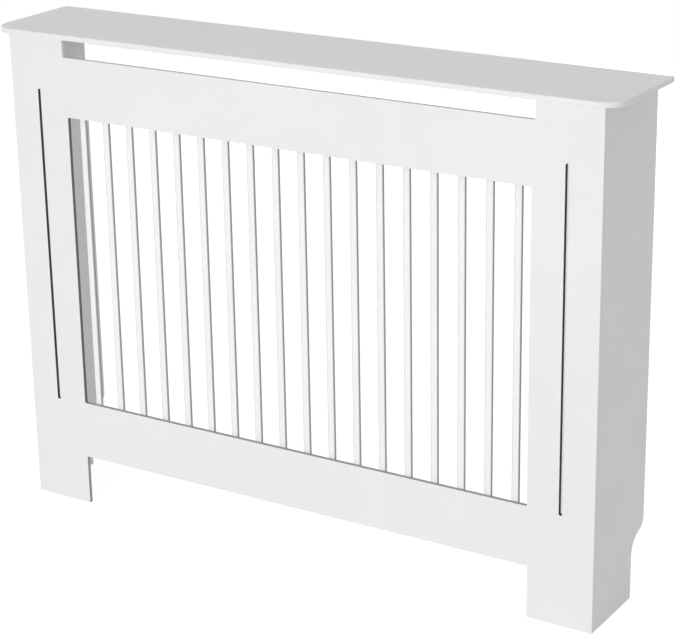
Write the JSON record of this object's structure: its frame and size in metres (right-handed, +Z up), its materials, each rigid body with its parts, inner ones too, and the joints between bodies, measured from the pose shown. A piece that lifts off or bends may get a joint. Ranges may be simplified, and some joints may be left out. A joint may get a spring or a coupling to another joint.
{
  "type": "radiator cover cabinet",
  "caption": "Painted board radiator cover: shelf top with rounded front corners, slatted window, air slot under the shelf, arched base and skirting cut-outs at the back.",
  "frame": {"origin": "on the floor under the middle of the top shelf", "axes": "+X to the right seen from the front, +Y towards the wall behind the cover, +Z up; the front faces -Y"},
  "size_m": [1.104, 0.19, 0.815],
  "materials": {
    "board_paint": "satin white paint on medium density fibreboard",
    "slat_paint": "satin white paint on fibreboard slats with softened edges",
    "cast_zinc": "die-cast zinc, dull grey",
    "plated_steel": "bright zinc plated steel",
    "beech": "bare fluted beech"
  },
  "bodies": {
    "cover": {"top_shelf": "board_paint", "front_panel": "board_paint", "side_panel_left": "board_paint", "side_panel_right": "board_paint", "back_rail": "board_paint", "slat_01": "slat_paint", "slat_02": "slat_paint", "slat_03": "slat_paint", "slat_04": "slat_paint", "slat_05": "slat_paint", "slat_06": "slat_paint", "slat_07": "slat_paint", "slat_08": "slat_paint", "slat_09": "slat_paint", "slat_10": "slat_paint", "slat_11": "slat_paint", "slat_12": "slat_paint", "slat_13": "slat_paint", "slat_14": "slat_paint", "slat_15": "slat_paint", "slat_16": "slat_paint", "slat_17": "slat_paint", "slat_18": "slat_paint", "slat_batten_bottom": "board_paint", "slat_batten_top": "board_paint", "cam_bolt_front_low_left": "plated_steel", "cam_bolt_front_mid_left": "plated_steel", "cam_bolt_front_high_left": "plated_steel", "cam_bolt_shelf_front_left": "plated_steel", "cam_bolt_shelf_rear_left": "plated_steel", "cam_bolt_rail_left": "plated_steel", "cam_bolt_front_low_right": "plated_steel", "cam_bolt_front_mid_right": "plated_steel", "cam_bolt_front_high_right": "plated_steel", "cam_bolt_shelf_front_right": "plated_steel", "cam_bolt_shelf_rear_right": "plated_steel", "cam_bolt_rail_right": "plated_steel", "dowel_front_low_left": "beech", "dowel_front_high_left": "beech", "dowel_front_low_right": "beech", "dowel_front_high_right": "beech", "dowel_shelf_left": "beech", "dowel_shelf_right": "beech", "wall_bracket_left": "plated_steel", "wall_bracket_right": "plated_steel", "bracket_screw_left": "plated_steel", "bracket_screw_right": "plated_steel"},
    "cam_front_low_left": {"cam_disc_front_low_left": "cast_zinc"},
    "cam_front_mid_left": {"cam_disc_front_mid_left": "cast_zinc"},
    "cam_front_high_left": {"cam_disc_front_high_left": "cast_zinc"},
    "cam_shelf_front_left": {"cam_disc_shelf_front_left": "cast_zinc"},
    "cam_shelf_rear_left": {"cam_disc_shelf_rear_left": "cast_zinc"},
    "cam_rail_left": {"cam_disc_rail_left": "cast_zinc"},
    "cam_front_low_right": {"cam_disc_front_low_right": "cast_zinc"},
    "cam_front_mid_right": {"cam_disc_front_mid_right": "cast_zinc"},
    "cam_front_high_right": {"cam_disc_front_high_right": "cast_zinc"},
    "cam_shelf_front_right": {"cam_disc_shelf_front_right": "cast_zinc"},
    "cam_shelf_rear_right": {"cam_disc_shelf_rear_right": "cast_zinc"},
    "cam_rail_right": {"cam_disc_rail_right": "cast_zinc"}
  },
  "joints": [
    {"name": "front_low_left_lock_turn", "type": "hinge", "parent": "cover", "child": "cam_front_low_left", "pos_m": [-0.522, -0.0517, 0.13], "axis": [1, 0, 0], "range_deg": [0, 180]},
    {"name": "front_mid_left_lock_turn", "type": "hinge", "parent": "cover", "child": "cam_front_mid_left", "pos_m": [-0.522, -0.0517, 0.43], "axis": [1, 0, 0], "range_deg": [0, 180]},
    {"name": "front_high_left_lock_turn", "type": "hinge", "parent": "cover", "child": "cam_front_high_left", "pos_m": [-0.522, -0.0517, 0.72], "axis": [1, 0, 0], "range_deg": [0, 180]},
    {"name": "shelf_front_left_lock_turn", "type": "hinge", "parent": "cover", "child": "cam_shelf_front_left", "pos_m": [-0.522, -0.0257, 0.7817], "axis": [1, 0, 0], "range_deg": [0, 180]},
    {"name": "shelf_rear_left_lock_turn", "type": "hinge", "parent": "cover", "child": "cam_shelf_rear_left", "pos_m": [-0.522, 0.0493, 0.7817], "axis": [1, 0, 0], "range_deg": [0, 180]},
    {"name": "rail_left_lock_turn", "type": "hinge", "parent": "cover", "child": "cam_rail_left", "pos_m": [-0.4927, 0.09, 0.7857], "axis": [0, -1, 0], "range_deg": [0, 180]},
    {"name": "front_low_right_lock_turn", "type": "hinge", "parent": "cover", "child": "cam_front_low_right", "pos_m": [0.522, -0.0517, 0.13], "axis": [-1, 0, 0], "range_deg": [0, 180]},
    {"name": "front_mid_right_lock_turn", "type": "hinge", "parent": "cover", "child": "cam_front_mid_right", "pos_m": [0.522, -0.0517, 0.43], "axis": [-1, 0, 0], "range_deg": [0, 180]},
    {"name": "front_high_right_lock_turn", "type": "hinge", "parent": "cover", "child": "cam_front_high_right", "pos_m": [0.522, -0.0517, 0.72], "axis": [-1, 0, 0], "range_deg": [0, 180]},
    {"name": "shelf_front_right_lock_turn", "type": "hinge", "parent": "cover", "child": "cam_shelf_front_right", "pos_m": [0.522, -0.0257, 0.7817], "axis": [-1, 0, 0], "range_deg": [0, 180]},
    {"name": "shelf_rear_right_lock_turn", "type": "hinge", "parent": "cover", "child": "cam_shelf_rear_right", "pos_m": [0.522, 0.0493, 0.7817], "axis": [-1, 0, 0], "range_deg": [0, 180]},
    {"name": "rail_right_lock_turn", "type": "hinge", "parent": "cover", "child": "cam_rail_right", "pos_m": [0.4927, 0.09, 0.7857], "axis": [0, -1, 0], "range_deg": [0, 180]}
  ]
}
